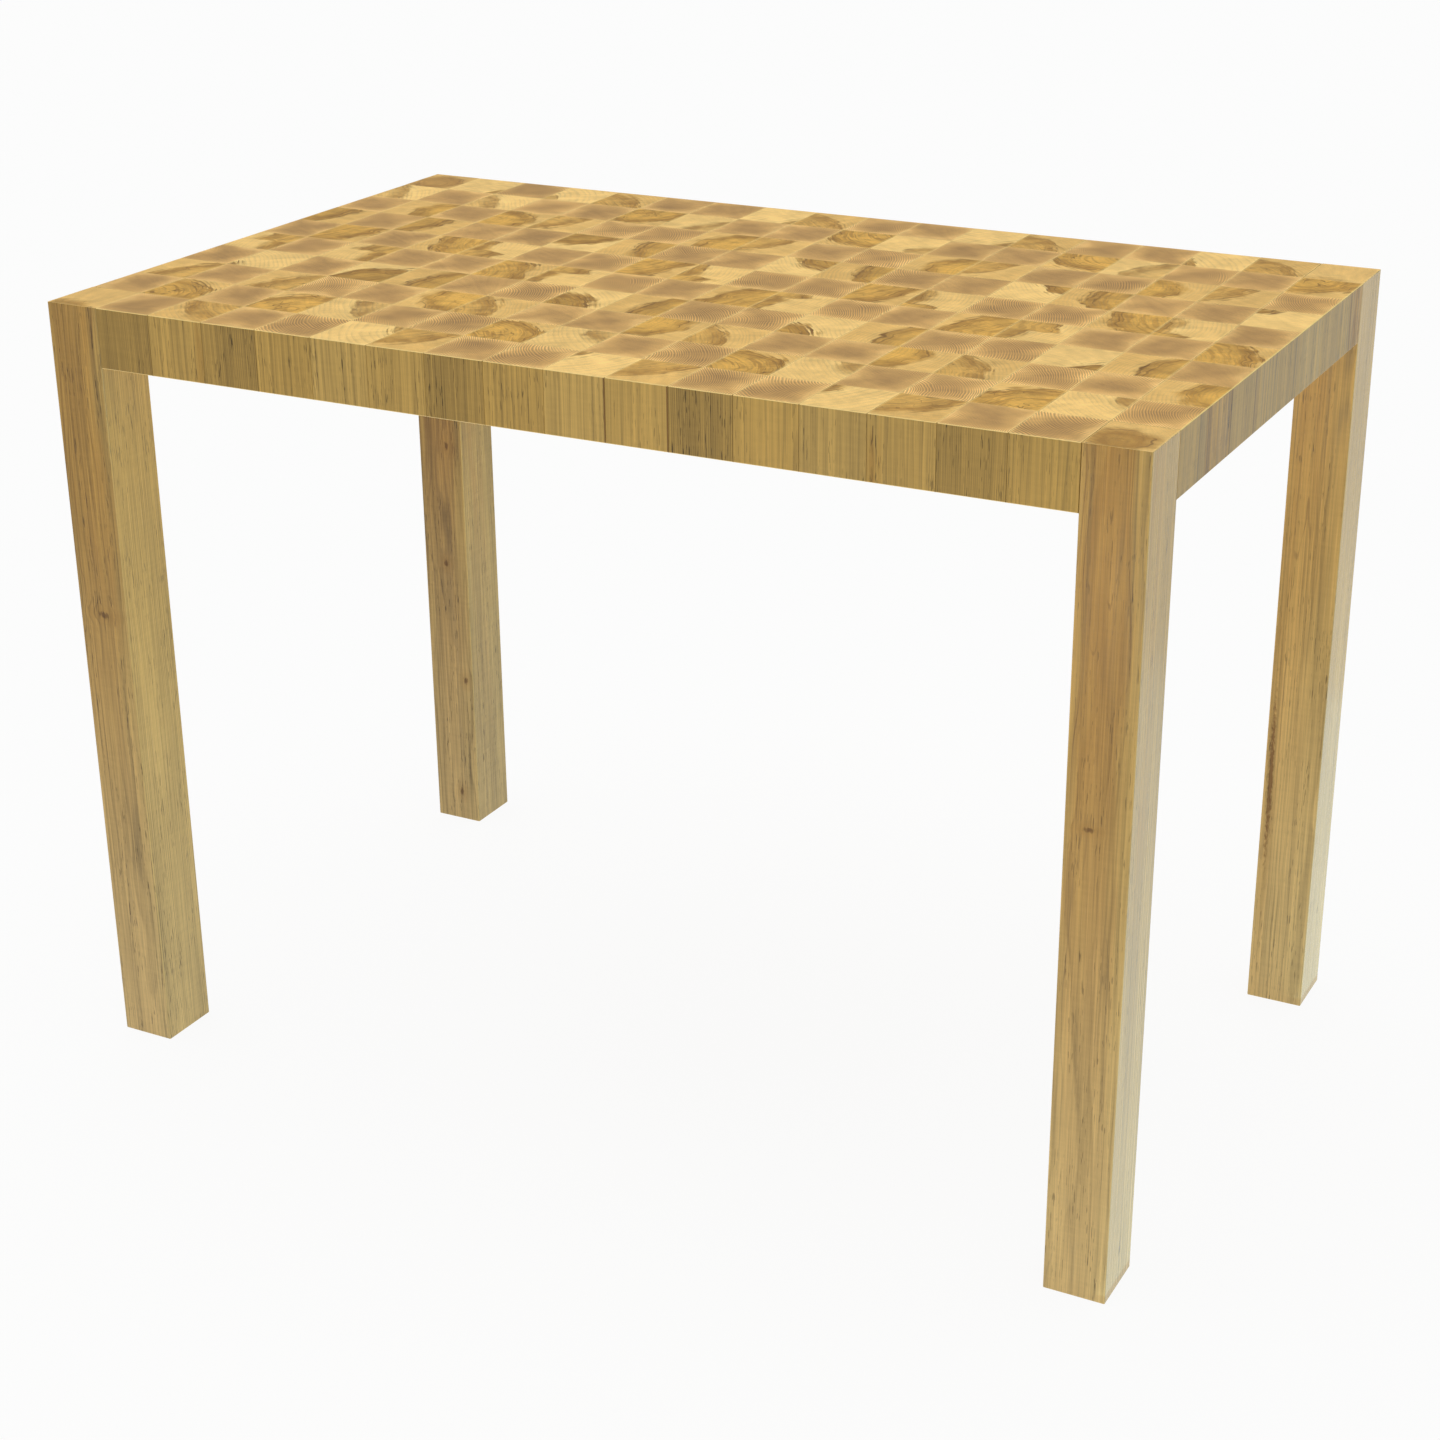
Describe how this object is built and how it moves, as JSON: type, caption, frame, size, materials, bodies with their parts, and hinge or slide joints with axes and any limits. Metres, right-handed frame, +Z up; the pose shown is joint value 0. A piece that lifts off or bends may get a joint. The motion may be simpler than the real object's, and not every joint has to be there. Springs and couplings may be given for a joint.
{
  "type": "butcher block table",
  "caption": "Free-standing table with a thick end-grain butcher block top and square wooden legs that run up through its corners.",
  "frame": {"origin": "on the floor, under the middle of the table", "axes": "+X along the length to the right end, -Y towards the front, +Z up"},
  "size_m": [1.219, 0.745, 0.873],
  "materials": {
    "top_wood": "oiled satin, end grain",
    "leg_wood": "oiled satin, long grain",
    "dowel_wood": "plain, hidden in the joint"
  },
  "bodies": {
    "root": {"top_strip_01": "top_wood", "top_strip_02": "top_wood", "top_strip_03": "top_wood", "top_strip_04": "top_wood", "top_strip_05": "top_wood", "top_strip_06": "top_wood", "top_strip_07": "top_wood", "top_strip_08": "top_wood", "top_strip_09": "top_wood", "top_strip_10": "top_wood", "top_strip_11": "top_wood", "top_strip_12": "top_wood", "top_strip_13": "top_wood", "top_strip_14": "top_wood", "top_strip_15": "top_wood", "top_strip_16": "top_wood", "top_strip_17": "top_wood", "top_strip_18": "top_wood", "leg_front_left": "leg_wood", "leg_front_right": "leg_wood", "leg_back_left": "leg_wood", "leg_back_right": "leg_wood", "dowel_front_left_strip_1": "dowel_wood", "dowel_front_left_strip_2": "dowel_wood", "dowel_front_left_end_1": "dowel_wood", "dowel_front_left_end_2": "dowel_wood", "dowel_front_right_strip_1": "dowel_wood", "dowel_front_right_strip_2": "dowel_wood", "dowel_front_right_end_1": "dowel_wood", "dowel_front_right_end_2": "dowel_wood", "dowel_back_left_strip_1": "dowel_wood", "dowel_back_left_strip_2": "dowel_wood", "dowel_back_left_end_1": "dowel_wood", "dowel_back_left_end_2": "dowel_wood", "dowel_back_right_strip_1": "dowel_wood", "dowel_back_right_strip_2": "dowel_wood", "dowel_back_right_end_1": "dowel_wood", "dowel_back_right_end_2": "dowel_wood"}
  },
  "joints": []
}
